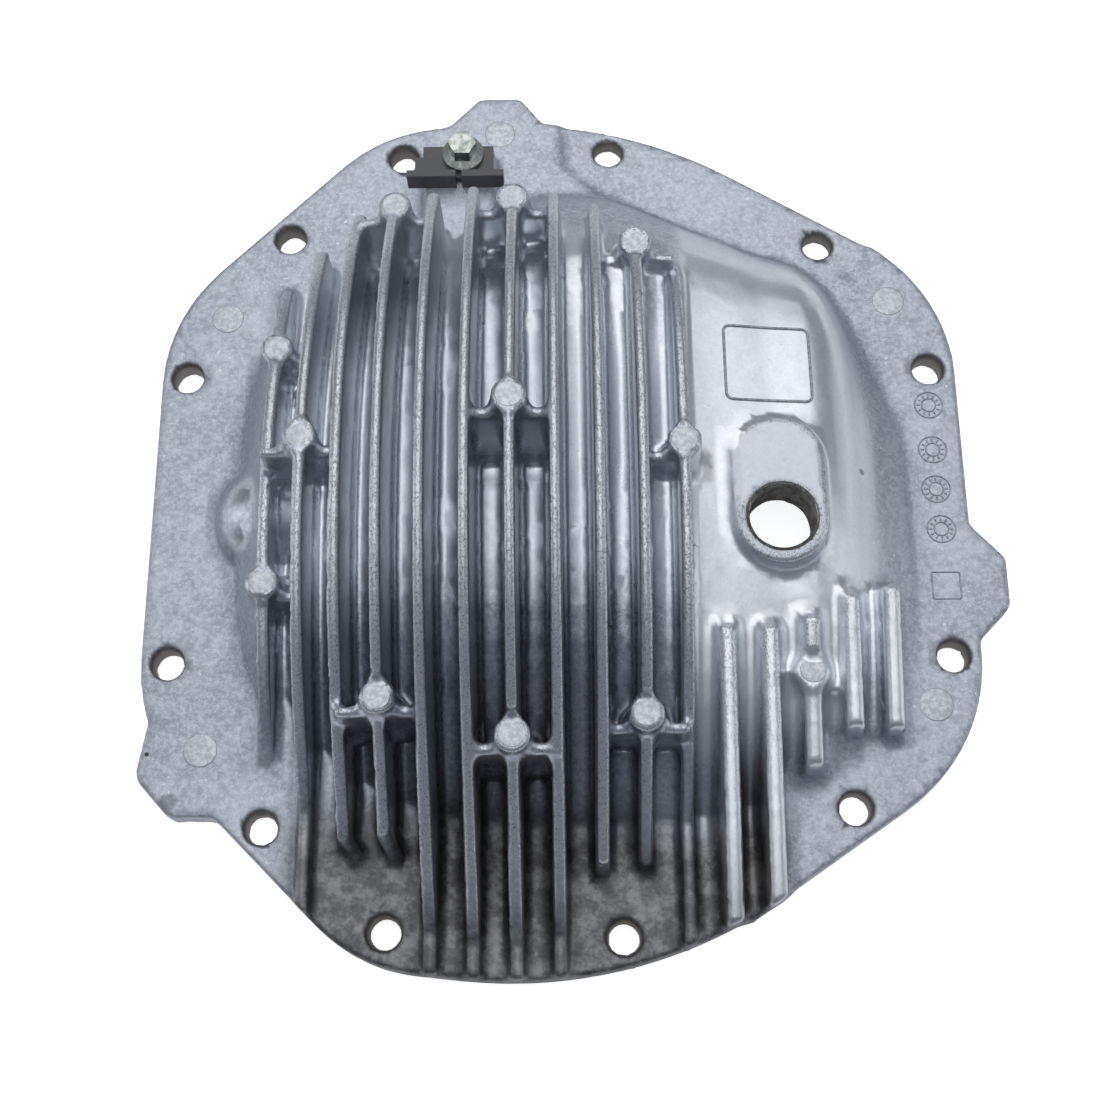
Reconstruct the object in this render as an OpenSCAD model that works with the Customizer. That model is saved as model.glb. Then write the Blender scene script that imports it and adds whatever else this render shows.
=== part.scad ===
// Finned cast-aluminium differential cover with its hose bracket and bracket bolt.
// The origin is the centre of the four side bolts, on the gasket face.
// +Z points away from the axle housing and +Y is up as the cover is fitted.

/* [Flange] */
// Thickness of the bolt flange
flange_t = 8.6; // [6:0.2:12]
// Radius of the upper and lower arcs of the flange
flange_r = 139; // [136:0.5:146]
// Clearance hole for the cover bolts
bolt_hole_d = 9; // [7:0.5:10]
// Mouth of each bolt hole on the front face
bolt_mouth_d = 10.5; // [10.2:0.1:12]
// Depth of the lowered step round the upper right bolts
step_depth = 1.3; // [0.5:0.1:2.5]
// Distance of that step from the two bolts
step_r = 16; // [13:0.5:18]

/* [Dome] */
// Rise of the dome floor above the flange
dome_h = 36; // [30:1:38]
// Wall thickness of the casting over the cavity
wall = 5.5; // [4:0.5:7]

/* [Cooling fins] */
// Distance between neighbouring fins
fin_pitch = 12.05; // [11.5:0.05:12.5]
// Rise of the tallest fin above the flange
fin_h = 72.5; // [60:0.5:80]
// Thickness of a fin at its crest
fin_t = 3; // [2.4:0.1:4]
// Thickness gained from the tallest crest down to the flange
fin_draft = 1; // [0:0.1:2]
// Radius of the crest seen from the side
fin_r = 132; // [125:1:150]
// Slope of the lower run of each crest
fin_slope = 38; // [34:1:42]
// Height of the low ribs that run out to the flange edge
rib_h = 5; // [3:0.5:7]

/* [Pin bosses] */
// Diameter of a pin boss at its top
boss_d = 10; // [8:0.5:12]
// Diameter gained by a pin boss down to the dome
boss_draft = 3; // [0:0.5:5]
// Thickness of the cross webs beside the bosses
web_t = 3; // [2:0.5:4]
// Drop of the webs below the boss tops
web_drop = 5; // [2:0.5:8]

/* [Filler boss] */
// Width of the obround filler boss
fill_w = 27; // [24:0.5:30]
// Length of the obround filler boss
fill_l = 45; // [36:0.5:50]
// Rise of the filler face above the flange
fill_h = 28; // [26:0.5:34]
// Minor diameter of the filler thread
fill_bore_d = 18.6; // [16:0.1:20]
// Width of the countersink round the filler thread
fill_mouth_d = 21; // [20.4:0.1:23]
// Length of the filler bore, carried on inside by a round boss
fill_bore_l = 14; // [12:0.5:18]

/* [Hose bracket] */
// Width of the bracket plate
bracket_w = 22.6; // [20:0.2:24]
// Thickness of the bracket sheet
bracket_t = 2.3; // [1.5:0.1:3]
// Rise of the bracket seat above the flange
seat_h = 8; // [6:0.5:10]
// Outward reach of the two folded ledges
ledge_h = 7; // [5:0.5:9]
// Thread size of the bracket bolt
bolt_d = 6; // [5:1:6]

/* [Hidden] */
$fn = 96;
front = flange_t;

// Bolt holes on the upper half, mirrored to the lower half
hole_xy = [[-33.6, 125.4], [33.6, 127.3], [100.6, 91.6], [132.4, 46.6], [-69.8, 95.7], [-100, 46.6]];

// The dome is modelled about its own middle, which lies left of the centre of the four side bolts
dome_x = -(hole_xy[3][0] + hole_xy[5][0]) / 2;

// Corner circles of the flange outline, anticlockwise: x, y, radius
corner_r = 56;
outline = [[84.9, -45, corner_r], [84.9, 45, corner_r], [0, 0, flange_r],
           [-19.1, 88.6, 48.5], [-52.1, 45, corner_r], [-52.1, -45, corner_r],
           [-19.1, -88.6, 48.5], [3, 0, flange_r]];

// Dome stations along X: x, share of the rise, lower foot, upper foot, fullness of the upper side
station = [[-70, 0.03, -46, 46, 2], [-57, 0.42, -66, 68, 2], [-42, 0.73, -80, 84, 2],
           [-22, 0.94, -90, 95, 2.2], [4, 1, -94, 107, 3.4], [30, 0.95, -94, 108.5, 5],
           [56, 0.76, -92, 97.5, 5.5], [80, 0.65, -86, 86.5, 5.5], [98, 0.56, -78, 78, 5],
           [112, 0.16, -61, 51, 3.5], [121.5, 0.02, -34, 22, 2.5]];
peak_y = 4;
foot_h = 1;

// Long fins A to K: lower end, upper end, nose radius, lean of the lower end (-1: a rib runs on to the edge),
// turn of the tail below the lower end
long_fin = [[-76, 75, 3, 5, 0], [-104, 82, 4, -1, 0], [-100.5, 93, 4, 1, 38], [-101, 92, 5, 1, 28],
            [-150, 91, 6, -1, 0], [-150, 92, 6, -1, 0], [-150, 89, 6, -1, 0], [-150, 89, 6, -1, 0],
            [-109, 87, 8, 3, 0], [-108, 80, 8, 3, 0], [-150, 80, 6, -1, 0]];
first_x = -68.6;
tail_l = 6.5;

// Short fins L to P: upper end, its rise, lower end, its rise
short_fin = [[-42, 23, -150, 5], [-42, 22.5, -150, 5.5], [-39, 21.5, -83, 11], [-32, 20, -72, 12],
             [-29, 18, -72, 9]];

// Pin bosses: fin number from the left, y, sides that have a web (-1 left, 1 right)
boss = [[0, 46.5, [1]], [1, 7.5, [-1, 1]], [6, 5.8, [-1, 1]], [10, 3.6, [-1]], [0, -29.5, [1]],
        [3, -68.6, [-1, 1]], [6, -79.3, [-1, 1]], [9, -71.8, [-1, 1]],
        [3, 87.5, [-1, 1]], [6, 82.6, [-1, 1]], [9, 70.8, [-1, 1]]];
short_boss_y = -55.5;

swell_r = 18.5;

fill_x = 80.6;
fill_y = -3.9;
fill_bore_y = fill_y - (fill_l - fill_w) / 2 + 0.4;

bracket_x = -15;
bracket_y = 118;
bracket_l = 9.6;
bracket_bolt_x = bracket_x + 1.6;
bracket_bolt_y = bracket_y + 1.6;
shank_clear = 0.3;
shank_l = 11;
shank_room = 3;
bolt_flange_d = 2.2 * bolt_d;
bolt_flange_t = 3;
bolt_head_h = 7.4;
hex_w = 8;

// Half of the square field that every full-width cut covers
field = flange_r + 21;

// Outer tangent of two circles of the outline, as its two touching points
function tangent(a, b) =
    let (d = [b[0] - a[0], b[1] - a[1]], t = atan2(d[1], d[0]) - acos(max(-1, min(1, (a[2] - b[2]) / norm(d)))),
         n = [cos(t), sin(t)])
    [[a[0], a[1]] + a[2] * n, [b[0], b[1]] + b[2] * n];

// Smooth value of column c of the dome stations at x
function rise(a, b, c) = (b[c] - a[c]) / (b[0] - a[0]);
function slope(i, c) = i == 0 ? rise(station[0], station[1], c)
    : i == len(station) - 1 ? rise(station[i - 1], station[i], c)
    : (rise(station[i - 1], station[i], c) + rise(station[i], station[i + 1], c)) / 2;
function blend(i, t, c) =
    let (w = station[i + 1][0] - station[i][0], s = t * t * (3 - 2 * t))
    station[i][c] * (1 - s) + station[i + 1][c] * s
    + w * (slope(i, c) * t * (1 - t) * (1 - t) - slope(i + 1, c) * t * t * (1 - t));

// Crest height of long fin k above the flange at mid height, and at any y
function fin_x(k) = first_x + k * fin_pitch;
function crown(k) = fin_h * (1 - pow(abs(fin_x(k) + 1) / 84, 2.2));
function arc_drop(y) = fin_r - sqrt(fin_r * fin_r - pow(y - peak_y / 2, 2));
function bend_y() = peak_y / 2 - fin_r * sin(fin_slope);
function crest(k, y) = y >= bend_y() ? crown(k) - arc_drop(y)
    : crown(k) - arc_drop(bend_y()) - (bend_y() - y) * tan(fin_slope);

// Flange outline: every corner circle is cut to the part that it adds to the straight runs
module outline_2d() {
    n = len(outline);
    run = [for (i = [0:n - 1]) tangent(outline[i], outline[(i + 1) % n])];
    union() {
        polygon([for (r = run) each r]);
        for (i = [0:n - 1]) {
            p = run[(i + n - 1) % n][1];
            q = run[i][0];
            c = outline[i];
            out = [q[1] - p[1], p[0] - q[0]] / norm(q - p);
            intersection() {
                translate([c[0], c[1]]) circle(c[2], $fn = 240);
                polygon([p - out, q - out, q + out * 40, p + out * 40]);
            }
        }
    }
}

// Lifting tabs at the top, the right and the lower left
module tabs_2d() {
    polygon([[-20, 120], [-18.6, 138], [-9.4, 147.6], [-7.4, 148.2], [3.4, 148.2], [5.4, 147.4],
             [12, 138.6], [12, 120]]);
    polygon([[120, -4], [140.9, -5.4], [150.2, -15.6], [151, -17.6], [151, -30], [150, -32.4],
             [140.9, -41.6], [120, -44]]);
    polygon([[-90, -60], [-104.4, -63], [-107.2, -79.6], [-106, -82.4], [-97.4, -91.8], [-95.4, -92.6],
             [-82, -92.6]]);
}

// Lowered area round the two upper right bolts
module step_2d() {
    a = hole_xy[1];
    b = hole_xy[2];
    t = atan2(b[1] - a[1], b[0] - a[0]);
    translate(a) circle(step_r);
    translate(b) circle(step_r);
    translate(a) rotate(t) translate([0, -step_r]) square([norm(b - a), step_r + 40]);
    translate([a[0] - step_r, a[1]]) square([step_r * 2, 40]);
}

// Height field of the dome; the cavity is the same shape moved in by the wall thickness
module dome(inset, base) {
    sub = 3;
    m = 14;
    k = len(station) - 1;
    steps = [for (i = [0:k - 1]) for (j = [0:sub - 1]) [i, j / sub], [k - 1, 1]];
    rows = [for (s = steps) [for (c = [0:4]) c == 0
        ? station[s[0]][0] + s[1] * (station[s[0] + 1][0] - station[s[0]][0]) : blend(s[0], s[1], c)]];
    mid = (station[0][0] + station[k][0]) / 2;
    shrink = 1 - inset / (station[k][0] - mid);
    cell = [for (r = rows) let (lo = r[2] + inset, hi = r[3] - inset)
        [for (j = [0:2 * m]) let (s = sin(90 * (j / m - 1)), p = s < 0 ? 2 : r[4],
            y = s < 0 ? peak_y + s * (peak_y - lo) : peak_y + s * (hi - peak_y))
            [mid + (r[0] - mid) * shrink, y,
             front + foot_h + dome_h * r[1] * (1 - pow(abs(s), p)) - inset * (1 - 0.3 * pow(abs(s), p))]]];
    nr = len(rows);
    nc = 2 * m + 1;
    top = [for (r = cell) each r];
    low = [for (r = cell) each [[r[0][0], r[0][1], base], [r[0][0], r[2 * m][1], base]]];
    o = len(top);
    faces = concat(
        [for (i = [0:nr - 2]) for (j = [0:nc - 2]) each
            [[i * nc + j, i * nc + j + 1, (i + 1) * nc + j + 1], [i * nc + j, (i + 1) * nc + j + 1, (i + 1) * nc + j]]],
        [for (i = [0:nr - 2]) each
            [[i * nc, (i + 1) * nc, o + 2 * i + 2], [i * nc, o + 2 * i + 2, o + 2 * i],
             [(i + 1) * nc - 1, o + 2 * i + 1, o + 2 * i + 3], [(i + 1) * nc - 1, o + 2 * i + 3, (i + 2) * nc - 1],
             [o + 2 * i, o + 2 * i + 2, o + 2 * i + 3], [o + 2 * i, o + 2 * i + 3, o + 2 * i + 1]]],
        [concat([for (j = [0:nc - 1]) nc - 1 - j], [o, o + 1]),
         concat([for (j = [0:nc - 1]) (nr - 1) * nc + j], [o + 2 * nr - 1, o + 2 * nr - 2])]);
    polyhedron(concat(top, low), faces);
}

// Points along an arc from angle a0 to angle a1 in n steps
function arc_points(c, r, a0, a1, n) = [for (i = [0:n]) let (a = a0 + (a1 - a0) * i / n) c + r * [cos(a), sin(a)]];

// Side view of a long fin: straight lower run, arc, rounded upper nose
module fin_side(k) {
    f = long_fin[k];
    c = [peak_y / 2, crown(k) - fin_r];
    nose = f[2];
    n = [f[1] - nose, c[1] + sqrt(pow(fin_r - nose, 2) - pow(f[1] - nose - c[0], 2))];
    nose_a = atan2(n[1] - c[1], n[0] - c[0]);
    end_z = f[3] < 0 ? rib_h : 1;
    knee_z = crest(k, bend_y());
    low_y = knee_z > end_z ? max(f[0], bend_y() - (knee_z - end_z) / tan(fin_slope)) : f[0];
    low_a = knee_z > end_z ? 90 + fin_slope : 180 - asin((end_z - c[1]) / fin_r);
    polygon(concat(
        [[f[1] + 1.5, -4], [f[3] < 0 ? -150 : low_y - f[3], -4]],
        f[3] < 0 ? [[-150, rib_h]] : [],
        knee_z > end_z ? [[low_y, crest(k, low_y)]] : [],
        arc_points(c, fin_r, low_a, nose_a, 36),
        arc_points(n, nose, nose_a - nose_a / 5, 0, 4)));
}

// Cross-section that every fin is cut to: slightly thicker towards the flange
module fin_section() {
    polygon([[-fin_t / 2, fin_h], [fin_t / 2, fin_h], [fin_t / 2 + fin_draft / 2, -4],
             [-fin_t / 2 - fin_draft / 2, -4]]);
}

module fins() {
    for (k = [0:len(long_fin) - 1]) translate([fin_x(k), 0, front]) intersection() {
        rotate([90, 0, 90]) translate([0, 0, -10]) linear_extrude(20) fin_side(k);
        rotate([90, 0, 0]) linear_extrude(2 * field, center = true) fin_section();
    }
    for (k = [0:len(long_fin) - 1]) if (long_fin[k][4] > 0) fin_tail(k);
    for (i = [0:len(short_fin) - 1]) {
        f = short_fin[i];
        translate([fin_x(len(long_fin) + i), 0, front]) intersection() {
            rotate([90, 0, 90]) translate([0, 0, -10]) linear_extrude(20)
                polygon([[f[0] + 2, -4], [f[0], f[1]], [f[2], f[3]], [f[2] - 1, -4]]);
            rotate([90, 0, 0]) linear_extrude(2 * field, center = true) fin_section();
        }
    }
}

// Short sloping tail of a long fin, turned sideways
module fin_tail(k) {
    y = long_fin[k][0];
    top = crest(k, y);
    translate([fin_x(k), y, front]) rotate(long_fin[k][4]) intersection() {
        rotate([90, 0, 90]) translate([0, 0, -10]) linear_extrude(20)
            polygon([[1.2, -4], [1.2, top - 2], [0, top], [-tail_l, 0.5], [-tail_l, -4]]);
        rotate([90, 0, 0]) linear_extrude(4 * tail_l, center = true) fin_section();
    }
}

// A pin boss with its cross webs, from inside the dome wall up to just above the crest
module pin_boss(x, y, top, sides) {
    translate([x, y, front - 2]) cylinder(h = top + 2, d1 = boss_d + boss_draft, d2 = boss_d);
    for (s = sides) translate([x + s * fin_pitch / 2, y - 3, front - 2 + (top - web_drop + 2) / 2])
        cube([fin_pitch, web_t, top - web_drop + 2], center = true);
}

module bosses() {
    for (b = boss) pin_boss(fin_x(b[0]), b[1], crest(b[0], b[1]) + 0.8, b[2]);
    pin_boss(fin_x(13), short_boss_y, 17.5, [-1, 1]);
}

// Curved slope up to the first fin and the round swelling beside it
module left_flank() {
    x = fin_x(0);
    slope_h = crown(0) - 4;
    translate([0, 0, front]) intersection() {
        hull() {
            translate([0, 0, -1]) linear_extrude(1)
                polygon([[x + 1, -66], [x - 3.8, -59.3], [x - 9.2, -45.8], [x - 12, -32.5], [x - 13.3, -15],
                         [x - 13.7, 3], [x - 13.4, 20], [x - 11.4, 38], [x - 7.7, 53.7], [x + 1, 64]]);
            translate([0, 0, slope_h]) linear_extrude(0.5)
                polygon([[x + 1, -40], [x - 1.3, -20], [x - 1.3, 22], [x + 1, 44]]);
        }
        rotate([90, 0, 90]) translate([0, 0, -field]) linear_extrude(field) fin_side(0);
    }
    translate([x - 1, -2.5, front - 1]) sphere(swell_r);
}

// Cast seat under the hose bracket and the small rib across the upper edge of the dome
module small_castings() {
    translate([bracket_x - 11, 92, front - 2]) cube([23, 29, seat_h + 2]);
    translate([66.8, 78, front - 2]) cube([4, 17.5, 8]);
}

module filler_boss() {
    for (s = [-1, 1]) translate([fill_x, fill_y + s * (fill_l - fill_w) / 2, front + 4])
        cylinder(h = fill_h - 4, d1 = fill_w + 4, d2 = fill_w);
    translate([fill_x, fill_y, front + 4]) rotate([90, 0, 0])
        linear_extrude(fill_l - fill_w, center = true)
            polygon([[-fill_w / 2 - 2, 0], [fill_w / 2 + 2, 0], [fill_w / 2, fill_h - 4],
                     [-fill_w / 2, fill_h - 4]]);
}

module bolt_holes() {
    for (p = hole_xy) for (s = [-1, 1]) translate([p[0], s * p[1], 0]) {
        translate([0, 0, -1]) cylinder(h = front + 2, d = bolt_hole_d);
        translate([0, 0, front - 4]) cylinder(h = 4.01, d1 = bolt_hole_d, d2 = bolt_mouth_d);
        translate([0, 0, front]) cylinder(h = 12, d = bolt_mouth_d + 1.6);
    }
}

module cover_casting() {
    color([0.68, 0.70, 0.74]) translate([dome_x, 0, 0]) difference() {
        union() {
            linear_extrude(front) outline_2d();
            linear_extrude(front) tabs_2d();
            intersection() {
                union() {
                    dome(0, 2);
                    fins();
                    bosses();
                    left_flank();
                    small_castings();
                    filler_boss();
                }
                linear_extrude(front + fin_h + 4) outline_2d();
            }
        }
        difference() {
            dome(wall, -1);
            translate([fill_x, fill_bore_y, front + fill_h - fill_bore_l])
                cylinder(h = fill_bore_l, d = fill_bore_d + 9);
        }
        bolt_holes();
        difference() {
            translate([0, 0, front - step_depth]) linear_extrude(step_depth + 6) step_2d();
            dome(0, 2);
        }
        translate([fill_x, fill_bore_y, 0]) cylinder(h = front + fill_h + 1, d = fill_bore_d);
        translate([fill_x, fill_bore_y, front + fill_h - 1.2])
            cylinder(h = 1.21, d1 = fill_bore_d, d2 = fill_mouth_d);
        translate([bracket_bolt_x, bracket_bolt_y, front + seat_h - shank_l - shank_room])
            cylinder(h = shank_l + shank_room + 1, d = bolt_d);
    }
}

// Folded steel bracket: plate on the seat, a small ear, and two ledges folded outwards
module hose_bracket() {
    z = front + seat_h;
    y0 = bracket_y - bracket_l / 2 - 2;
    color([0.1, 0.1, 0.11]) translate([dome_x, 0, 0]) difference() {
        union() {
            translate([bracket_x - bracket_w / 2, y0, z]) cube([bracket_w, bracket_l + 2, bracket_t]);
            translate([bracket_x - bracket_w / 2 - 2.6, y0 + 3, z]) cube([3, 4.6, bracket_t]);
            translate([bracket_x - bracket_w / 2 - 4.8, y0 - bracket_t, z])
                cube([15.6, bracket_t + 0.01, ledge_h]);
            translate([bracket_x + 1.4, y0 - bracket_t, z]) cube([13.4, bracket_t + 0.01, ledge_h]);
        }
        translate([bracket_bolt_x, bracket_bolt_y, z - 1]) cylinder(h = bracket_t + 2, d = bolt_d + shank_clear);
    }
}

// Flanged hexagon bolt that holds the bracket
module bracket_bolt() {
    z = front + seat_h + bracket_t;
    color([0.62, 0.65, 0.6]) translate([dome_x + bracket_bolt_x, bracket_bolt_y, z]) {
        translate([0, 0, -bracket_t - shank_l]) cylinder(h = bracket_t + shank_l + 0.5, d = bolt_d);
        cylinder(h = bolt_flange_t / 2, d = bolt_flange_d);
        translate([0, 0, bolt_flange_t / 2]) cylinder(h = bolt_flange_t / 2, d1 = bolt_flange_d, d2 = hex_w);
        cylinder(h = bolt_head_h, d = hex_w / cos(30), $fn = 6);
    }
}

cover_casting();
hose_bracket();
bracket_bolt();
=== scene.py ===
import math

import bmesh
import bpy
import numpy as np
import openvdb
from mathutils import Matrix, Vector
from mathutils.bvhtree import BVHTree


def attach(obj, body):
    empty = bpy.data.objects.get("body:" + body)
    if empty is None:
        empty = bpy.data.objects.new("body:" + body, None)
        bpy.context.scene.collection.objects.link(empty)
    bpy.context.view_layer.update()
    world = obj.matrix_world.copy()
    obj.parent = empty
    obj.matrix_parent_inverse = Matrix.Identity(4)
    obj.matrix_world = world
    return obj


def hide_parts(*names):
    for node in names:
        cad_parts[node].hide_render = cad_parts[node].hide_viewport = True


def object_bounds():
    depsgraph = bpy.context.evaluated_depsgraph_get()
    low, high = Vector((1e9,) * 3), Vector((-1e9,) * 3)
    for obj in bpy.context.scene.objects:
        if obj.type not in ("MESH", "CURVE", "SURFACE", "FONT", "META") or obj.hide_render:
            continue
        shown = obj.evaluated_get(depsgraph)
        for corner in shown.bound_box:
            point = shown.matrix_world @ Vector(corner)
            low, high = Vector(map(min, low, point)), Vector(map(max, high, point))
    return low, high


# Looks of the finned differential cover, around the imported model.
# Lengths are in millimetres up to the point where a mesh is made.

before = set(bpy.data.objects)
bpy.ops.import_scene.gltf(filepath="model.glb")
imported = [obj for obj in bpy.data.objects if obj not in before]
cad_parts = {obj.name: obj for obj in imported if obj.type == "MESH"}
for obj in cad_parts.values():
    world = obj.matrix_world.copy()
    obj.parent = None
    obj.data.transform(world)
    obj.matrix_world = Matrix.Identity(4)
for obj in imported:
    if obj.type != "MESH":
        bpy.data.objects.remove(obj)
cad_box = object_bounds()
MM = 0.001

# Camera, fitted to the photograph's 1100 x 1100 frame
PHOTO_SIZE = 1100
FOCAL_PIXELS = 1661.0
CAMERA_AT = (2.81, -179.83, 481.53)
CAMERA_TILT = (-0.34027, -0.01146, 0.00721)

# Casting surface: grid step, fillet and edge radius, and how far flat areas are simplified
VOXEL = 0.6
FILLET_R = 1.8
EDGE_R = 0.7
ADAPTIVITY = 0.3

# Voxels kept round a distance field, how far off the surface crowding is read, and how far it looks
FIELD_MARGIN = 6
VALLEY_OFFSET = 5
VALLEY_REACH = 7

FLANGE_Z = 8.6
DOME_X = -16.2

# Fins
FIRST_FIN_X = DOME_X - 68.6
FIN_PITCH = 12.05

# Pin bosses: fin number and y
BOSSES = ((0, 46.5), (1, 7.5), (6, 5.8), (10, 3.6), (0, -29.5), (3, -68.6), (6, -79.3), (9, -71.8),
          (3, 87.5), (6, 82.6), (9, 70.8), (13, -55.5))
PIN_MARK_R = 3.7
PIN_MARK_H = 0.1
BOSS_R = 5.8
BOSS_PATCH = 8
BOSS_PATCH_Z = (20, 90)
BOSS_RISE = 0.1

# Short fins: fin number, y and height above the flange at the upper end and at the lower end
SHORT_FINS = ((11, -42, 23, -150, 5), (12, -42, 22.5, -150, 5.5), (13, -39, 21.5, -83, 11),
              (14, -32, 20, -72, 12), (15, -29, 18, -72, 9))

# Form of a short fin: half thickness at the crest, widening with depth, deepest widening, width of the
# soft join, fall of the round ends, and how deep the fin goes into the wall, above the cavity
SHORT_FIN_HALF = 1.3
SHORT_FIN_DRAFT = 0.15
SHORT_FIN_DEPTH = 16
SHORT_FIN_BLEND = 3.5
SHORT_FIN_FALL = 0.35
INTO_WALL = 3.0

# The plain fin that it takes the place of, the valley beside it, and the y below which the flange ends it
PLAIN_FIN_HALF = 2.9
VALLEY_ASIDE = 5.6
FLANGE_END_Y = -100
LOWEST_FIN_Y = -118

# Box of the grid that a short fin is made in: margins beside and above it, and below it, and its heights
FIN_PATCH = 9
FIN_PATCH_BELOW = 7
FIN_PATCH_Z = (3, 36)

# Where the round ends of a short fin begin, before its upper and its lower end
ROUND_TOP = 2.5
ROUND_LOW = 2

# Bolt holes of the upper half, mirrored to the lower half
BOLT_HOLES = ((-49.8, 125.4), (17.4, 127.3), (84.4, 91.6), (116.2, 46.6), (-86.0, 95.7),
              (-116.2, 46.6))
BOLT_HOLE_R = 4.5

# Cast seat under the bracket: low and high corner
SEAT = ((-42.0, 116.0, 5.0), (-19.6, 124.2, 16.4))
SEAT_MARGIN = 4

# Filler thread
FILLER = (64.4, -12.5)
FILLER_R = 9.3
FILLER_TOP = 36.6
FILLER_DEPTH = 14.0
THREAD_PITCH = 1.5
THREAD_DEPTH = 0.7
THREAD_FLAT = 1.25
LEAD_IN = 1.2

# Small marks on the flange and the panel
EJECTOR_R = 5.0
EJECTOR_H = 0.18
EJECTORS = ((-18.2, 134), (-104.7, 67), (105.5, 70.3), (109.8, -61.5), (-104.7, -73))
DIALS = ((115.3, 34), (115.3, 19), (115.3, 6), (115.8, -7))
DIAL_R = 4.3
DIAL_INNER = 0.5
DIAL_TICKS = 12
TICK_SHARES = (0.62, 0.72, 0.84)
FINE_LINE = (0.5, 0.28)
SMALL_FRAME = (115.8, -25)
SMALL_FRAME_SIZE = (8.4, 8.4)
SMALL_FRAME_CORNER = 0.5
PANEL_FRAME = (62.8, 37.1)
PANEL_FRAME_SIZE = (25.7, 24.4)
PANEL_FRAME_CORNER = 2
PANEL_LINE = (0.95, 0.5)

# Dark specks and smudges: centre, radius, strength
MARKS = (((-120.2, -74), 0.8, 0.95), ((-113.2, -88), 3.2, 0.4), ((90.8, 7), 1.2, 0.6))

# Bevelled pieces, in degrees: corners that are rounded and edges that are bevelled
CORNER_ANGLE = 80
EDGE_ANGLE = 25

# A height above the whole part, and the floor
ABOVE_ALL = 120
FLOOR_HALF = 3000.0
FLOOR_Z = -0.2


# Helpers for meshes

def fin_x(number):
    return FIRST_FIN_X + FIN_PITCH * number


def min_over(arrays):
    return np.min(np.stack(arrays), axis=0)


def mesh_object(name, points, faces, material, smooth=True):
    """New object from points in millimetres, in the frame of the part."""
    mesh = bpy.data.meshes.new(name)
    mesh.from_pydata([tuple(p * MM for p in point) for point in points], [], [tuple(f) for f in faces])
    mesh.validate()
    mesh.update()
    if smooth:
        mesh.shade_smooth()
    piece = bpy.data.objects.new(name, mesh)
    bpy.context.scene.collection.objects.link(piece)
    mesh.materials.append(material)
    return piece


def node_mesh(node):
    """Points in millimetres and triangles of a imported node."""
    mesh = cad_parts[node].data
    points = np.empty(len(mesh.vertices) * 3, np.float32)
    mesh.vertices.foreach_get("co", points)
    mesh.calc_loop_triangles()
    triangles = np.empty(len(mesh.loop_triangles) * 3, np.int32)
    mesh.loop_triangles.foreach_get("vertices", triangles)
    return points.reshape(-1, 3) / MM, triangles.reshape(-1, 3)


def level_set(points, triangles, quads, reach):
    """Signed distance grid of a closed mesh, valid up to reach on both sides."""
    shape = {}
    if len(triangles):
        shape["triangles"] = triangles.astype(np.uint32)
    if len(quads):
        shape["quads"] = quads.astype(np.uint32)
    return openvdb.FloatGrid.createLevelSetFromPolygons(
        points.astype(np.float32), transform=openvdb.createLinearTransform(voxelSize=VOXEL),
        halfWidth=reach / VOXEL + 3, **shape)


class Field:
    """Values of a distance grid as an array that can be read at any point."""

    def __init__(self, grid, low, high):
        self.low = np.floor(np.array(low) / VOXEL).astype(int) - FIELD_MARGIN
        size = np.ceil(np.array(high) / VOXEL).astype(int) + FIELD_MARGIN - self.low
        self.values = np.full(size, grid.background, np.float32)
        grid.copyToArray(self.values, ijk=tuple(int(v) for v in self.low))

    def at(self, points, values=None):
        values = self.values if values is None else values
        place = points / VOXEL - self.low
        cell = np.clip(np.floor(place).astype(int), 0, np.array(values.shape) - 2)
        part = np.clip(place - cell, 0, 1)
        total = np.zeros(len(points), np.float32)
        for corner in np.ndindex(2, 2, 2):
            weight = np.ones(len(points), np.float32)
            for axis in range(3):
                weight *= part[:, axis] if corner[axis] else 1 - part[:, axis]
            total += weight * values[cell[:, 0] + corner[0], cell[:, 1] + corner[1], cell[:, 2] + corner[2]]
        return total

    def soften(self):
        """Evens out the values over neighbouring voxels."""
        for axis in range(3):
            values = np.moveaxis(self.values, axis, 0)
            values[1:-1] = 0.25 * values[:-2] + 0.5 * values[1:-1] + 0.25 * values[2:]

    def gradient(self, points, step):
        return np.stack([self.at(points + offset) - self.at(points - offset)
                         for offset in np.eye(3) * step], axis=1) / (2 * step)

    def curvature(self, points, step):
        """Positive on outer edges and negative in corners."""
        around = sum(self.at(points + sign * offset) for offset in np.eye(3) * step for sign in (-1, 1))
        return (around - 6 * self.at(points)) / step ** 2

    def crowding(self, radius):
        """Share of solid in a box of that half width round every voxel."""
        solid = (self.values < 0).astype(np.float32)
        reach = int(radius / VOXEL)
        for axis in range(3):
            total = np.cumsum(solid, axis=axis, dtype=np.float32)
            count = solid.shape[axis]
            ahead = np.minimum(np.arange(count) + reach, count - 1)
            behind = np.maximum(np.arange(count) - reach, 0)
            solid = (np.take(total, ahead, axis) - np.take(total, behind, axis)) / (2 * reach)
        return solid


class Patch:
    """A box of a distance grid, in millimetres, that can be changed in place."""

    def __init__(self, grid, low, high):
        self.grid = grid
        self.start = tuple(int(v) for v in np.floor(np.array(low) / VOXEL))
        size = np.ceil(np.array(high) / VOXEL).astype(int) - self.start
        self.values = np.empty(size, np.float32)
        grid.copyToArray(self.values, ijk=self.start)
        self.x, self.y, self.z = (np.arange(count) * VOXEL + start * VOXEL
                                  for count, start in zip(size, self.start))
        self.x = self.x[:, None, None]
        self.y = self.y[None, :, None]

    def write(self):
        self.grid.copyFromArray(self.values, ijk=self.start)


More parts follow.
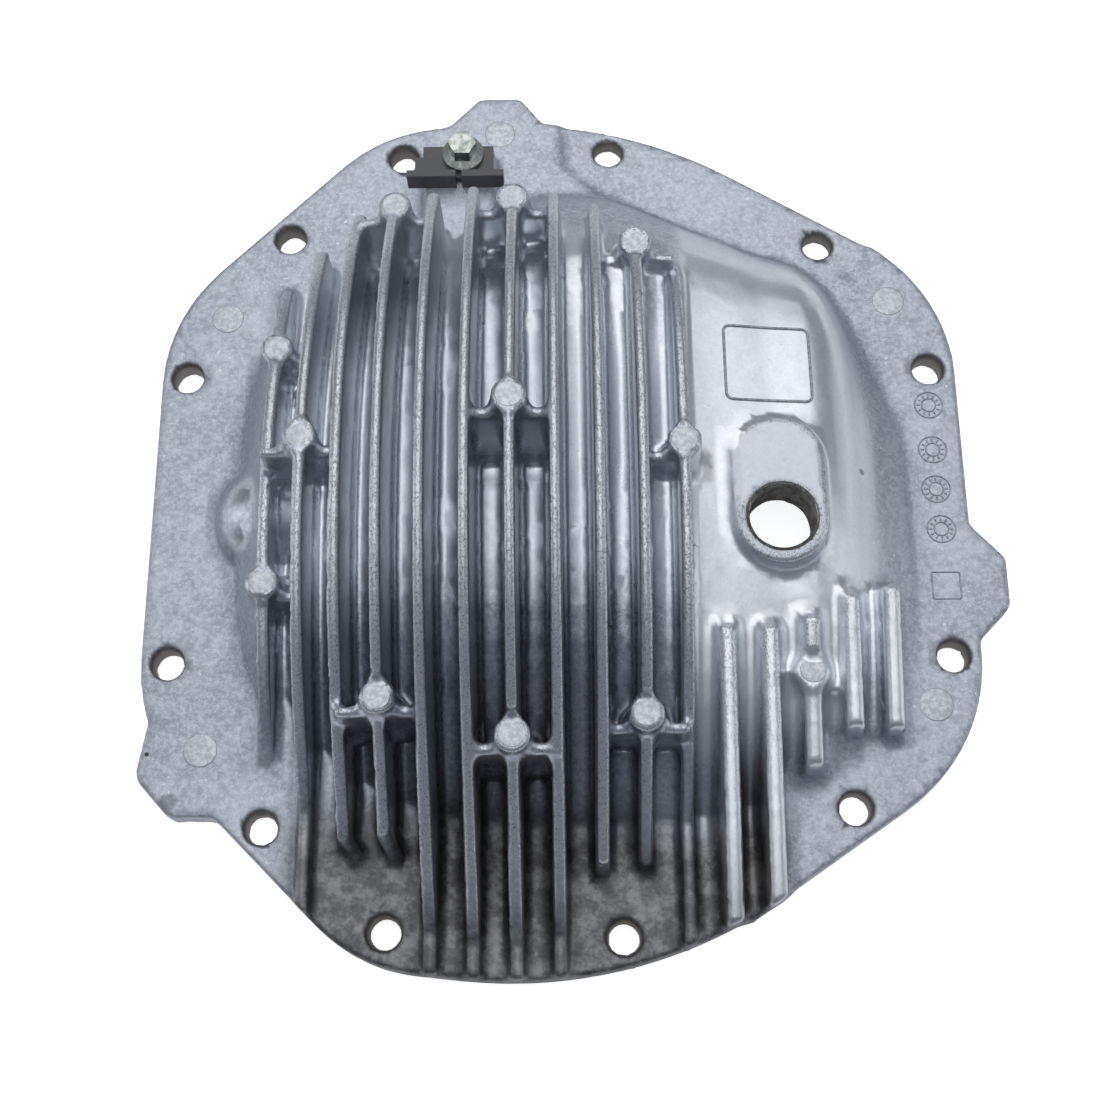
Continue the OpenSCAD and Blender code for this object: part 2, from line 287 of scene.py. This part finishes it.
def reshape_short_fin(grid, number, top_y, top_h, low_y, low_h):
    """Gives a short fin its wide base, its round ends and its soft crest."""
    x = fin_x(number)
    low_z, high_z = FIN_PATCH_Z
    patch = Patch(grid, (x - FIN_PATCH, max(low_y, LOWEST_FIN_Y) - FIN_PATCH_BELOW, low_z),
                  (x + FIN_PATCH, top_y + FIN_PATCH, high_z))
    outline = np.where(patch.y < FLANGE_END_Y, patch.values[:, :, :1], -np.inf)

    # Height of the valleys on both sides, where the plain fin is cut down to
    solid = patch.values < 0
    highest = solid.shape[2] - 1 - np.argmax(solid[:, :, ::-1], axis=2)
    tops = np.where(solid.any(axis=2), patch.z[highest], low_z)
    aside = [np.argmin(np.abs(patch.x.ravel() - x - side)) for side in (-VALLEY_ASIDE, VALLEY_ASIDE)]
    floor = np.mean(tops[aside], axis=0)[None, :, None]
    boss_gap = min_over([np.abs(patch.y - y) if fin == number else np.full(patch.y.shape, np.inf)
                         for fin, y in BOSSES]) - BOSS_R
    cut = min_over(np.broadcast_arrays(PLAIN_FIN_HALF - np.abs(patch.x - x), patch.z - floor, boss_gap,
                                       top_y + ROUND_TOP - patch.y))

    # The new fin: its distance to the side and over the crest make one rounded distance
    crest = FLANGE_Z + top_h + (top_h - low_h) * (patch.y - top_y) / (top_y - low_y)
    beyond = (np.maximum(patch.y - (top_y - ROUND_TOP), 0)
              + np.maximum(low_y + ROUND_LOW - patch.y, 0))
    crest = crest - SHORT_FIN_FALL * beyond ** 2
    half = SHORT_FIN_HALF + SHORT_FIN_DRAFT * np.clip(crest - patch.z, 0, SHORT_FIN_DEPTH)
    side = np.sqrt((patch.x - x) ** 2 + beyond ** 2) - half + SHORT_FIN_HALF
    over = patch.z - crest + SHORT_FIN_HALF
    shape = np.sqrt(np.maximum(side, 0) ** 2 + np.maximum(over, 0) ** 2) + np.minimum(
        np.maximum(side, over), 0) - SHORT_FIN_HALF
    shape = np.maximum(np.maximum(shape, outline), floor - INTO_WALL - patch.z)

    rest = np.maximum(patch.values, cut)
    join = np.maximum(SHORT_FIN_BLEND - np.abs(rest - shape), 0) / SHORT_FIN_BLEND
    patch.values = (np.minimum(rest, shape) - join ** 2 * SHORT_FIN_BLEND / 4).astype(np.float32)
    patch.write()


def flatten_boss(grid, number, y):
    """Cuts the fin away above the flat top of a pin boss."""
    x = fin_x(number)
    low_z, high_z = BOSS_PATCH_Z
    patch = Patch(grid, (x - BOSS_PATCH, y - BOSS_PATCH, low_z), (x + BOSS_PATCH, y + BOSS_PATCH, high_z))
    middle = patch.values[patch.values.shape[0] // 2, patch.values.shape[1] // 2]
    top = patch.z[np.nonzero(middle < 0)[0][-1]] + BOSS_RISE
    away = np.hypot(patch.x - x, patch.y - y)
    above = np.minimum(BOSS_R - away, patch.z - top)
    patch.values = np.maximum(patch.values, above.astype(np.float32))
    patch.write()


def widen_seat(grid):
    """Closes the bracket seat round the shank of the bracket bolt."""
    low, high = (np.array(corner) for corner in SEAT)
    patch = Patch(grid, low - SEAT_MARGIN, high + SEAT_MARGIN)
    sides = [np.maximum(low[i] - axis, axis - high[i])
             for i, axis in enumerate((patch.x, patch.y, patch.z))]
    box = np.max(np.stack(np.broadcast_arrays(*sides)), axis=0)
    patch.values = np.minimum(patch.values, box.astype(np.float32))
    patch.write()


def cast_surface(node):
    """The node's surface with fillets in its corners and slightly rounded edges."""
    points, triangles = node_mesh(node)
    none = np.empty((0, 3), np.uint32)
    blank = level_set(points, triangles, none, max(FILLET_R, SHORT_FIN_BLEND))
    for fin in SHORT_FINS:
        reshape_short_fin(blank, *fin)
    for boss in BOSSES:
        flatten_boss(blank, *boss)
    widen_seat(blank)
    grown = blank.convertToPolygons(isovalue=FILLET_R)
    inset = FILLET_R + EDGE_R
    shrunk = level_set(*grown, inset).convertToPolygons(isovalue=-inset)
    grid = level_set(*shrunk, EDGE_R + 2)
    skin_points, skin_triangles, skin_quads = grid.convertToPolygons(isovalue=EDGE_R, adaptivity=ADAPTIVITY)
    field = Field(grid, points.min(axis=0), points.max(axis=0))
    field.values -= EDGE_R
    field.soften()
    return skin_points, skin_triangles, skin_quads, field


def near(points, x, y):
    """Distance of every point from an upright axis."""
    return np.hypot(points[:, 0] - x, points[:, 1] - y)


def make_room_for_thread(points):
    """Moves the wall of the filler bore outwards, behind the thread piece."""
    away = near(points, *FILLER)
    wall = (away < FILLER_R + 0.5) & (points[:, 2] > FILLER_TOP - FILLER_DEPTH + 0.4) & (
        points[:, 2] < FILLER_TOP - 0.9)
    centre = np.array(FILLER)
    outward = (points[wall, :2] - centre) / away[wall, None]
    points[wall, :2] = centre + outward * (FILLER_R + THREAD_DEPTH + 0.3)


def casting_skin(material):
    """The visible casting: filleted surface with true normals, and its edge, valley and bore shares."""
    points, triangles, quads, field = cast_surface("cover_casting")
    low, high = np.array(cad_box) / MM
    points = np.clip(points, low, high)
    normals = field.gradient(points, VOXEL)
    normals /= np.maximum(np.linalg.norm(normals, axis=1, keepdims=True), 1e-6)

    # The wall of the bolt holes, up to their rims
    holes = min_over([near(points, x, side * y) for x, y in BOLT_HOLES for side in (-1, 1)])
    bores = np.clip((BOLT_HOLE_R + 0.9 - holes) / 0.3, 0, 1) * (np.abs(normals[:, 2]) < 0.75)
    make_room_for_thread(points)

    mesh = bpy.data.meshes.new("casting_skin")
    mesh.vertices.add(len(points))
    mesh.vertices.foreach_set("co", (points * MM).astype(np.float32).ravel())
    corners = np.concatenate([triangles[:, ::-1].ravel(), quads[:, ::-1].ravel()]).astype(np.int32)
    mesh.loops.add(len(corners))
    mesh.loops.foreach_set("vertex_index", corners)
    starts = np.concatenate([np.arange(len(triangles)) * 3, 3 * len(triangles) + np.arange(len(quads)) * 4])
    mesh.polygons.add(len(starts))
    mesh.polygons.foreach_set("loop_start", starts.astype(np.int32))
    mesh.update(calc_edges=True)
    mesh.shade_smooth()
    mesh.normals_split_custom_set_from_vertices(normals.astype(np.float32))
    edge = mesh.attributes.new("edge", "FLOAT", "POINT")
    edge.data.foreach_set("value", field.curvature(points, 2 * VOXEL).astype(np.float32))
    valley = mesh.attributes.new("valley", "FLOAT", "POINT")
    crowding = field.at(points + normals * VALLEY_OFFSET, field.crowding(VALLEY_REACH))
    valley.data.foreach_set("value", crowding.astype(np.float32))
    bore = mesh.attributes.new("bore", "FLOAT", "POINT")
    bore.data.foreach_set("value", bores.astype(np.float32))
    mesh.materials.append(material)
    piece = bpy.data.objects.new("casting_skin", mesh)
    bpy.context.scene.collection.objects.link(piece)
    print("casting skin:", len(points), "points,", len(triangles) + 2 * len(quads), "triangles")
    return piece


# Small pieces that lie on the casting

class Surface:
    """The casting's surface, to set small pieces down on it from above."""

    def __init__(self, piece):
        mesh = piece.data
        points = [tuple(v.co / MM) for v in mesh.vertices]
        self.tree = BVHTree.FromPolygons(points, [tuple(p.vertices) for p in mesh.polygons])

    def below(self, x, y):
        """Place and outward normal of the surface at x, y, seen from above."""
        place, normal, _, _ = self.tree.ray_cast(Vector((x, y, ABOVE_ALL)), Vector((0, 0, -1)))
        return place, (normal if normal.z > 0 else -normal)


def revolved(name, centre, profile, material, steps=72):
    """A round piece: profile points are radius and height above centre."""
    points = []
    faces = []
    for turn in range(steps):
        angle = 2 * math.pi * turn / steps
        points += [(centre[0] + r * math.cos(angle), centre[1] + r * math.sin(angle), centre[2] + h)
                   for r, h in profile]
    rows = len(profile)
    for turn in range(steps):
        following = (turn + 1) % steps
        faces += [(turn * rows + i, following * rows + i, following * rows + i + 1, turn * rows + i + 1)
                  for i in range(rows - 1)]
    faces.append(tuple(turn * rows for turn in reversed(range(steps))))
    return mesh_object(name, points, faces, material)


def low_ribs(name, paths, line, material, surface):
    """Fine raised lines on the surface; line is width and height, a path its points and if it is closed."""
    width, height = line
    section = ((-0.5, -0.3), (-0.42, 0.45), (-0.2, 0.9), (0.2, 0.9), (0.42, 0.45), (0.5, -0.3))
    rows = len(section)
    points = []
    faces = []
    for path, closed in paths:
        first = len(points)
        count = len(path)
        for i, (x, y) in enumerate(path):
            before = path[i - 1] if closed or i else path[0]
            after = path[(i + 1) % count] if closed or i < count - 1 else path[-1]
            along = Vector((after[0] - before[0], after[1] - before[1], 0)).normalized()
            place, normal = surface.below(x, y)
            across = normal.cross(along).normalized()
            points += [tuple(place + across * side * width + normal * up * height)
                       for side, up in section]
        faces += [tuple(first + (i + a) % count * rows + j + b
                        for a, b in ((0, 0), (0, 1), (1, 1), (1, 0)))
                  for i in range(count if closed else count - 1) for j in range(rows - 1)]
    return mesh_object(name, points, faces, material)


def circle_path(centre, radius, steps=60):
    return [(centre[0] + radius * math.cos(2 * math.pi * i / steps),
             centre[1] + radius * math.sin(2 * math.pi * i / steps)) for i in range(steps)]


def dial_ticks(centre):
    """Short lines between the rings of a dial."""
    ticks = []
    for tick in range(DIAL_TICKS):
        angle = 2 * math.pi * tick / DIAL_TICKS
        ticks.append(([(centre[0] + r * math.cos(angle), centre[1] + r * math.sin(angle))
                       for r in (DIAL_R * share for share in TICK_SHARES)], False))
    return ticks


def frame_path(centre, size, corner, step=1.2):
    """A rectangle with rounded corners, anticlockwise."""
    half_x, half_y = size[0] / 2 - corner, size[1] / 2 - corner
    path = []
    for quarter, (sx, sy) in enumerate(((1, 1), (-1, 1), (-1, -1), (1, -1))):
        for i in range(7):
            angle = math.pi / 2 * (quarter + i / 6)
            path.append((centre[0] + sx * half_x + corner * math.cos(angle),
                         centre[1] + sy * half_y + corner * math.sin(angle)))
        next_x, next_y = ((-1, 1), (-1, -1), (1, -1), (1, 1))[quarter]
        start = path[-1]
        end = ((centre[0] + next_x * half_x + corner * math.cos(angle)),
               (centre[1] + next_y * half_y + corner * math.sin(angle)))
        pieces = int(math.dist(start, end) / step)
        path += [(start[0] + (end[0] - start[0]) * i / pieces,
                  start[1] + (end[1] - start[1]) * i / pieces) for i in range(1, pieces)]
    return path


def round_mark(name, x, y, radius, height, material, surface):
    """A low round pad with a soft rim."""
    place, _ = surface.below(x, y)
    profile = ((0.01, height), (radius * 0.5, height), (radius - 0.35, height),
               (radius - 0.12, height * 0.7), (radius, 0.02), (radius + 0.05, -0.25))
    return revolved(name, place, profile, material)


def filler_thread(material):
    """Helical thread on the wall of the filler bore."""
    steps, rows = 96, 84
    length = FILLER_DEPTH - 1.0
    points = []
    for turn in range(steps):
        share = turn / steps
        for row in range(rows + 1):
            down = length * row / rows
            wave = abs(((down / THREAD_PITCH + share) % 1) * 2 - 1)
            lead_in = max(0.0, 1 - down / LEAD_IN) * LEAD_IN
            radius = FILLER_R + max(THREAD_DEPTH * min(1, wave * THREAD_FLAT), lead_in)
            angle = 2 * math.pi * share
            points.append((FILLER[0] + radius * math.cos(angle), FILLER[1] + radius * math.sin(angle),
                           FILLER_TOP - 0.05 - down))
    faces = [(t * (rows + 1) + r, t * (rows + 1) + r + 1, (t + 1) % steps * (rows + 1) + r + 1,
              (t + 1) % steps * (rows + 1) + r) for t in range(steps) for r in range(rows)]
    return mesh_object("filler_thread", points, faces, material)


def bevel(shape, edges, width):
    bmesh.ops.bevel(shape, geom=edges, offset=width * MM, segments=4, affect="EDGES", profile=0.5,
                    clamp_overlap=True)


def softened(node, corner, width, material):
    """A copy of a sharp-edged node with round upright corners and bevelled edges."""
    points, triangles = node_mesh(node)
    piece = mesh_object(node + "_finish", points.tolist(), triangles.tolist(), material, False)
    shape = bmesh.new()
    shape.from_mesh(piece.data)
    bmesh.ops.remove_doubles(shape, verts=shape.verts, dist=1e-6)
    bmesh.ops.dissolve_limit(shape, angle_limit=math.radians(1), verts=shape.verts, edges=shape.edges)
    upright = [e for e in shape.edges if e.calc_face_angle(0) > math.radians(CORNER_ANGLE) and
               abs((e.verts[0].co - e.verts[1].co).normalized().z) > 0.99]
    if corner:
        bevel(shape, upright, corner)
    bevel(shape, [e for e in shape.edges if e.calc_face_angle(0) > math.radians(EDGE_ANGLE)], width)
    bmesh.ops.triangulate(shape, faces=[f for f in shape.faces if len(f.verts) > 4])
    shape.to_mesh(piece.data)
    shape.free()
    piece.data.shade_smooth()
    weighted = piece.modifiers.new("normals", "WEIGHTED_NORMAL")
    weighted.keep_sharp = True
    return piece


# Helpers for materials

class Shader:
    """A short way to write node materials."""

    def __init__(self, name):
        self.material = bpy.data.materials.new(name)
        self.material.use_nodes = True
        self.tree = self.material.node_tree
        self.surface = self.tree.nodes["Principled BSDF"]
        self.coords = self.tree.nodes.new("ShaderNodeTexCoord").outputs["Object"]

    def put(self, socket, value):
        if isinstance(value, bpy.types.NodeSocket):
            self.tree.links.new(value, socket)
        else:
            socket.default_value = value

    def node(self, kind, inputs=None, **settings):
        made = self.tree.nodes.new(kind)
        for key, value in settings.items():
            setattr(made, key, value)
        for key, value in (inputs or {}).items():
            self.put(made.inputs[key], value)
        return made

    def noise(self, scale, detail=4.0, roughness=0.55, stretch=None, offset=(0, 0, 0)):
        vector = self.coords
        if stretch or any(offset):
            vector = self.node("ShaderNodeMapping", {"Vector": self.coords, "Scale": stretch or (1, 1, 1),
                                                     "Location": offset}).outputs[0]
        return self.node("ShaderNodeTexNoise", {"Vector": vector, "Scale": scale, "Detail": detail,
                                                "Roughness": roughness}).outputs["Fac"]

    def spread(self, value, low, high, to_low=0.0, to_high=1.0):
        """Value from low..high moved smoothly to to_low..to_high."""
        return self.node("ShaderNodeMapRange", {"Value": value, "From Min": low, "From Max": high,
                                                "To Min": to_low, "To Max": to_high},
                         interpolation_type="SMOOTHSTEP").outputs[0]

    def math(self, operation, a, b=0.0):
        return self.node("ShaderNodeMath", {0: a, 1: b}, operation=operation).outputs[0]

    def mix(self, share, a, b):
        """Colour a turned to colour b by that share."""
        made = self.node("ShaderNodeMix", data_type="RGBA")
        self.put(made.inputs["Factor"], share)
        self.put(made.inputs[6], a)
        self.put(made.inputs[7], b)
        return made.outputs[2]

    def blend(self, share, a, b):
        made = self.node("ShaderNodeMix", data_type="FLOAT")
        self.put(made.inputs["Factor"], share)
        self.put(made.inputs[2], a)
        self.put(made.inputs[3], b)
        return made.outputs[0]

    def attribute(self, name):
        return self.node("ShaderNodeAttribute", attribute_name=name).outputs["Fac"]

    def position(self):
        return self.node("ShaderNodeSeparateXYZ", {"Vector": self.coords}).outputs

    def spot(self, x, y, centre, radius, wobble):
        """Share of a small uneven spot, with its centre and radius in millimetres."""
        across = self.math("POWER", self.math("SUBTRACT", x, centre[0] * MM), 2.0)
        along = self.math("POWER", self.math("SUBTRACT", y, centre[1] * MM), 2.0)
        away = self.math("SQRT", self.math("ADD", across, along))
        away = self.math("ADD", away, self.math("MULTIPLY", wobble, radius * MM))
        return self.spread(away, radius * 1.5 * MM, radius * 1.1 * MM)

    def normal(self):
        geometry = self.node("ShaderNodeNewGeometry")
        return self.node("ShaderNodeSeparateXYZ", {"Vector": geometry.outputs["Normal"]}).outputs

    def bump(self, height, distance, strength=1.0, normal=None):
        inputs = {"Height": height, "Distance": distance, "Strength": strength}
        if normal:
            inputs["Normal"] = normal
        return self.node("ShaderNodeBump", inputs).outputs[0]

    def finish(self, **sockets):
        for key, value in sockets.items():
            self.put(self.surface.inputs[key.replace("_", " ")], value)
        return self.material


def rgb(red, green, blue):
    return (red, green, blue, 1.0)


def cast_aluminium():
    """Die-cast aluminium: mottled grey, pitted crests with a painted highlight, a panel painted lighter as a
    highlight, a painted reflection on the upper valley floors and painted shade in the valleys, deepest at
    the lower end.
    """
    s = Shader("cast_aluminium")
    x, y, z = s.position()
    edge = s.attribute("edge")
    valley = s.attribute("valley")
    bore = s.attribute("bore")

    # Mottled grey with fine light scratches, flecks and dark specks; the raised panel is painted lighter, a
    # painted highlight
    broad = s.noise(28, detail=3)
    mottle = s.noise(210, detail=6, roughness=0.7, offset=(3, 1, 0))
    grain = s.noise(1500, detail=4, roughness=0.7)
    tint = s.math("ADD", s.math("MULTIPLY", broad, 0.35), s.math("MULTIPLY", mottle, 0.65))
    colour = s.mix(s.spread(tint, 0.38, 0.62), rgb(0.36, 0.388, 0.445), rgb(0.47, 0.50, 0.56))
    fine_tint = s.noise(750, detail=6, roughness=0.75, offset=(5, 5, 1))
    colour = s.mix(s.spread(fine_tint, 0.42, 0.62, 0.0, 0.8), colour, rgb(0.60, 0.63, 0.685))
    scratches = s.math(
        "MAXIMUM", s.noise(260, detail=4, roughness=0.8, stretch=(1, 6, 1), offset=(9, 1, 1)),
        s.noise(260, detail=4, roughness=0.8, stretch=(6, 1.5, 1), offset=(1, 9, 1)))
    colour = s.mix(s.spread(scratches, 0.66, 0.74, 0.0, 0.7), colour, rgb(0.80, 0.82, 0.86))
    # Painted highlight: the raised panel right of the fins is painted lighter
    panel = s.math("MULTIPLY", s.spread(z, 0.013, 0.020), s.spread(x, 0.036, 0.040))
    colour = s.mix(s.math("MULTIPLY", panel, 0.7), colour, rgb(0.80, 0.83, 0.87))
    flecks = s.spread(s.noise(520, detail=3, stretch=(1, 1.7, 1), offset=(0, 5, 2)), 0.64, 0.72)
    flecks = s.math("MULTIPLY", flecks, s.spread(s.noise(45, detail=2, offset=(4, 4, 4)), 0.40, 0.62))
    colour = s.mix(s.math("MULTIPLY", flecks, 0.7), colour, rgb(0.86, 0.88, 0.90))
    specks = s.spread(s.noise(1700, detail=2, offset=(7, 0, 1)), 0.31, 0.25)
    colour = s.mix(s.math("MULTIPLY", specks, 0.5), colour, rgb(0.12, 0.12, 0.13))

    # Crests of the fins: a painted highlight along their rounded edges, and dark pits
    above = s.spread(z, 0.020, 0.032)
    crest = s.math("MULTIPLY", s.spread(edge, 0.10, 0.45), above)
    pits = s.noise(2300, detail=3, roughness=0.6, stretch=(1, 0.6, 1), offset=(2, 2, 2))
    crest_pits = s.math("MULTIPLY", crest, s.spread(pits, 0.46, 0.40))
    # Painted highlight: the crest edges are painted lighter
    colour = s.mix(s.math("MULTIPLY", crest, 0.5), colour, rgb(0.60, 0.63, 0.67))
    colour = s.mix(s.math("MULTIPLY", crest_pits, 0.6), colour, rgb(0.13, 0.135, 0.15))

    # Valleys between the fins: a painted reflection on the upper floors, and painted shade that deepens
    # towards the lower end
    depth = s.spread(valley, 0.25, 0.75)
    low_end = s.spread(y, -0.020, -0.105)
    # Painted shade: crowded valley points are darkened, most at the lower end, with a tint from black to
    # dark brown
    valley_shade = s.math("MULTIPLY", depth, s.blend(low_end, 0.08, 0.85))
    # Painted reflection: valley floors above the lower end are painted bright
    lit = s.math("MULTIPLY", s.spread(valley, 0.2, 0.5), s.spread(y, -0.045, -0.020))
    colour = s.mix(s.math("MULTIPLY", lit, 0.8), colour, rgb(0.80, 0.83, 0.88))
    valley_shade_tint = s.spread(s.noise(70, detail=5, roughness=0.7, stretch=(1, 0.3, 1), offset=(1, 8, 0)), 0.45, 0.68)
    valley_shade_colour = s.mix(valley_shade_tint, rgb(0.05, 0.052, 0.058), rgb(0.11, 0.088, 0.066))
    colour = s.mix(valley_shade, colour, valley_shade_colour)

    # Painted shade between the ribs at the bottom, then small marks and hole walls
    # Painted shade: the low area between the ribs at the bottom end is darkened
    bottom_shade = s.math("MULTIPLY", s.spread(s.math("ABSOLUTE", s.math("ADD", x, 0.008)), 0.078, 0.062),
                  s.spread(s.math("ADD", y, s.math("MULTIPLY", broad, 0.03)), -0.068, -0.088))
    bottom_shade = s.math("MULTIPLY", bottom_shade, s.spread(z, 0.024, 0.012))
    bottom_shade_tint = s.noise(120, detail=6, roughness=0.75, offset=(6, 2, 3))
    bottom_shade_colour = s.mix(s.spread(bottom_shade_tint, 0.42, 0.62), rgb(0.06, 0.056, 0.052), rgb(0.22, 0.215, 0.21))
    colour = s.mix(s.math("MULTIPLY", bottom_shade, 0.85), colour, bottom_shade_colour)
    for centre, radius, share in MARKS:
        spot = s.math("MULTIPLY", s.spot(x, y, centre, radius, mottle), share)
        colour = s.mix(spot, colour, rgb(0.04, 0.04, 0.045))
    colour = s.mix(s.math("MULTIPLY", bore, 0.85), colour, rgb(0.20, 0.18, 0.155))

    # Rough flange and filler face, smoother dome, smoothest valleys
    patchy = s.spread(tint, 0.35, 0.65)
    dome = s.spread(z, 0.0105, 0.017)
    rough = s.blend(dome, s.blend(patchy, 0.60, 0.52), s.blend(patchy, 0.40, 0.30))
    rough = s.blend(s.spread(valley, 0.25, 0.6), rough, 0.24)
    rough = s.blend(s.spread(y, 0.070, 0.092), rough, 0.55)
    rough = s.blend(bottom_shade, rough, 0.5)
    filler_face = s.math("MULTIPLY", s.spread(s.normal()["Z"], 0.90, 0.97),
                         s.math("LESS_THAN", s.math("ABSOLUTE", s.math("SUBTRACT", z, FILLER_TOP * MM)),
                                0.0006))
    rough = s.blend(s.math("MULTIPLY", filler_face, s.spread(x, 0.045, 0.046)), rough, 0.62)
    height = s.math("ADD", s.math("MULTIPLY", grain, 0.5), s.math("MULTIPLY", mottle, 0.5))
    fine = s.bump(height, 0.0002, 0.35)
    pitted = s.bump(s.math("MULTIPLY", crest_pits, -1.0), 0.00012, 0.6, fine)
    return s.finish(Base_Color=colour, Metallic=0.9, Roughness=rough, Normal=pitted)


def raised_line_metal():
    """Slightly darker lines of the frames and dials: the darker colour is painted shade along the raised
    lines.
    """
    s = Shader("raised_line_metal")
    patch = s.spread(s.noise(900, detail=5, roughness=0.7), 0.35, 0.65)
    # Painted shade: the lines are coloured darker than the casting
    colour = s.mix(patch, rgb(0.27, 0.285, 0.32), rgb(0.46, 0.48, 0.52))
    return s.finish(Base_Color=colour, Metallic=0.9, Roughness=s.blend(patch, 0.6, 0.5),
                    Normal=s.bump(s.noise(1500, detail=3), 0.0001, 0.3))


def pin_metal():
    """The lighter, freshly sheared look of the pin and ejector marks."""
    s = Shader("pin_metal")
    patch = s.spread(s.noise(700, detail=5, roughness=0.7), 0.40, 0.62)
    colour = s.mix(patch, rgb(0.46, 0.48, 0.52), rgb(0.58, 0.60, 0.64))
    rough = s.blend(patch, 0.56, 0.48)
    return s.finish(Base_Color=colour, Metallic=0.9, Roughness=rough,
                    Normal=s.bump(s.noise(1200, detail=4), 0.0001, 0.3))


def thread_metal():
    """Brownish metal of the filler thread."""
    s = Shader("thread_metal")
    patch = s.spread(s.noise(400, detail=5, roughness=0.7), 0.35, 0.65)
    colour = s.mix(patch, rgb(0.20, 0.185, 0.165), rgb(0.40, 0.385, 0.36))
    return s.finish(Base_Color=colour, Metallic=0.9, Roughness=s.blend(patch, 0.45, 0.32),
                    Normal=s.bump(s.noise(1500, detail=3), 0.0001, 0.3))


def black_paint():
    """Semi-gloss black paint, a little worn."""
    s = Shader("bracket_paint")
    wear = s.spread(s.noise(500, detail=5, roughness=0.7), 0.60, 0.72)
    colour = s.mix(wear, rgb(0.022, 0.023, 0.026), rgb(0.06, 0.06, 0.06))
    rough = s.blend(s.noise(300, detail=4), 0.25, 0.42)
    return s.finish(Base_Color=colour, Metallic=0.0, Roughness=rough, Specular_IOR_Level=0.8,
                    Normal=s.bump(s.noise(700, detail=4), 0.0002, 0.3))


def zinc_plate():
    """Greenish-grey zinc plate."""
    s = Shader("bolt_zinc")
    patch = s.spread(s.noise(350, detail=5, roughness=0.65), 0.4, 0.62)
    colour = s.mix(patch, rgb(0.30, 0.34, 0.31), rgb(0.55, 0.57, 0.54))
    rough = s.blend(patch, 0.45, 0.25)
    return s.finish(Base_Color=colour, Metallic=0.9, Roughness=rough,
                    Normal=s.bump(s.noise(900, detail=4), 0.0002, 0.3))


# Stage

def add_camera():
    tilt, turn, roll = CAMERA_TILT
    to_camera = (Matrix.Rotation(roll, 3, "Z") @ Matrix.Rotation(tilt, 3, "X")
                 @ Matrix.Rotation(turn, 3, "Y"))
    data = bpy.data.cameras.new("camera")
    data.sensor_fit = "HORIZONTAL"
    data.sensor_width = 36
    data.lens = data.sensor_width * FOCAL_PIXELS / PHOTO_SIZE
    camera = bpy.data.objects.new("camera", data)
    place = Matrix.Translation(Vector(CAMERA_AT) * MM)
    camera.matrix_world = place @ to_camera.transposed().to_4x4()
    bpy.context.scene.collection.objects.link(camera)
    bpy.context.scene.camera = camera


def add_lamp(name, place, target, size, power):
    """Soft rectangular lamp; place and target in metres, size as width and height."""
    data = bpy.data.lights.new(name, "AREA")
    data.shape = "RECTANGLE"
    data.size, data.size_y = size
    data.energy = power
    lamp = bpy.data.objects.new(name, data)
    lamp.location = place
    lamp.rotation_euler = (Vector(target) - Vector(place)).to_track_quat("-Z", "Y").to_euler()
    bpy.context.scene.collection.objects.link(lamp)


def add_floor():
    """Pale floor that the camera sees as white and that keeps the shadow."""
    s = Shader("floor")
    s.put(s.surface.inputs["Base Color"], rgb(0.9, 0.9, 0.9))
    s.put(s.surface.inputs["Roughness"], 0.9)
    path = s.node("ShaderNodeLightPath").outputs
    seen = s.math("MULTIPLY", path["Is Camera Ray"], 0.8)
    mirrored = s.math("MULTIPLY", path["Is Glossy Ray"], 0.25)
    s.put(s.surface.inputs["Emission Color"], rgb(1, 1, 1))
    s.put(s.surface.inputs["Emission Strength"], s.math("ADD", seen, mirrored))
    corners = [(x * FLOOR_HALF, y * FLOOR_HALF, FLOOR_Z) for x, y in ((-1, -1), (1, -1), (1, 1), (-1, 1))]
    floor = mesh_object("floor", corners, [(0, 1, 2, 3)], s.material, False)


def add_world():
    world = bpy.data.worlds.new("studio")
    world.use_nodes = True
    background = world.node_tree.nodes["Background"]
    background.inputs["Color"].default_value = rgb(0.80, 0.86, 1.0)
    background.inputs["Strength"].default_value = 0.22
    bpy.context.scene.world = world


# Build

aluminium = cast_aluminium()
marks = pin_metal()
add_camera()
add_world()
add_floor()
add_lamp("top_softbox", (0.0, 0.315, 0.843), (0, 0, 0.0), (1.0, 1.48), 6.2)
add_lamp("left_softbox", (-1.0, 0.1, 0.45), (0, 0, 0.03), (0.5, 0.9), 1.6)
add_lamp("right_softbox", (1.0, 0.0, 0.45), (0, 0, 0.03), (0.5, 0.9), 1.2)

skin = casting_skin(aluminium)
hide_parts("cover_casting")
surface = Surface(skin)
details = [round_mark(f"pin_mark_{i + 1}", fin_x(fin), y, PIN_MARK_R, PIN_MARK_H, marks, surface)
           for i, (fin, y) in enumerate(BOSSES)]
details += [round_mark(f"ejector_mark_{i + 1}", x, y, EJECTOR_R, EJECTOR_H, marks, surface)
            for i, (x, y) in enumerate(EJECTORS)]
lines = raised_line_metal()
for i, place in enumerate(DIALS):
    rings = [(circle_path(place, DIAL_R), True), (circle_path(place, DIAL_R * DIAL_INNER), True)]
    details.append(low_ribs(f"dial_{i + 1}", rings + dial_ticks(place), FINE_LINE, lines, surface))
small_path = frame_path(SMALL_FRAME, SMALL_FRAME_SIZE, SMALL_FRAME_CORNER)
panel_path = frame_path(PANEL_FRAME, PANEL_FRAME_SIZE, PANEL_FRAME_CORNER)
details += [low_ribs("small_frame", [(small_path, True)], FINE_LINE, lines, surface),
            low_ribs("panel_frame", [(panel_path, True)], PANEL_LINE, lines, surface),
            filler_thread(thread_metal())]
for piece in [skin] + details:
    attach(piece, "root")

for node, slot, corner, width, material in (("hose_bracket", "bracket_steel", 1.1, 0.3, black_paint()),
                                            ("bracket_bolt", "bolt_steel", 0, 0.3, zinc_plate())):
    piece = softened(node, corner, width, material)
    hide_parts(node)
    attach(piece, "root")

bpy.context.scene.view_settings.view_transform = "Standard"
